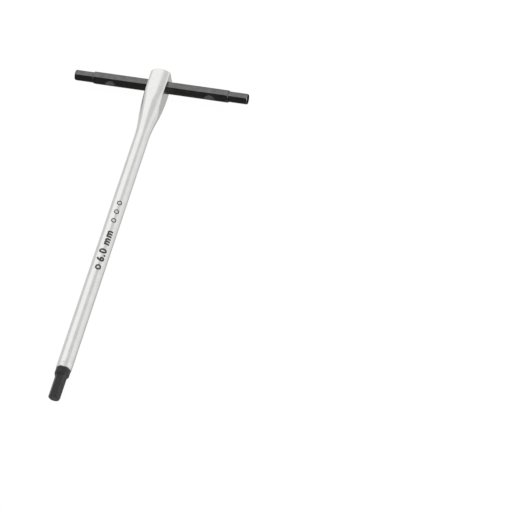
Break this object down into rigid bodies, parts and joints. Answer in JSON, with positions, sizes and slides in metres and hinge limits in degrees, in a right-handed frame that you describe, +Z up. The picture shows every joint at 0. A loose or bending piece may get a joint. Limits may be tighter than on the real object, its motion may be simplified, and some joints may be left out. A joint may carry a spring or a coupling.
{
  "type": "sliding t-handle hex key",
  "caption": "Long round shank with a hexagon drive tip and a flared head, in which a hexagonal cross bar with a smaller hexagon on each end slides between two ball detents.",
  "frame": {"origin": "centre of the end face of the drive tip, on the axis of the shank", "axes": "+Y runs along the shank from the drive tip to the head, +X along the cross bar, +Z up, square to both, as the key lies flat"},
  "size_m": [0.108, 0.228, 0.0152],
  "materials": {
    "satin_chrome": "satin chrome plate over forged steel",
    "black_steel": "hardened steel, black oxide, lightly oiled",
    "bright_steel": "bright ground steel"
  },
  "bodies": {
    "key_body": {"shank": "satin_chrome", "head_plug": "bright_steel", "drive_tip": "black_steel", "tip_pin": "bright_steel", "detent_spring": "bright_steel"},
    "cross_bar": {"slide_bar": "black_steel"},
    "ball": {"detent_ball": "bright_steel"}
  },
  "joints": [
    {"name": "bar_slide", "type": "slide", "parent": "key_body", "child": "cross_bar", "axis": [1, 0, 0], "range_m": [-0.0326, 0.0294]},
    {"name": "ball_press", "type": "slide", "parent": "key_body", "child": "ball", "axis": [0, -1, 0], "range_m": [0, 0.0005], "stiffness_N_per_m": 800, "springref_m": -0.003}
  ]
}
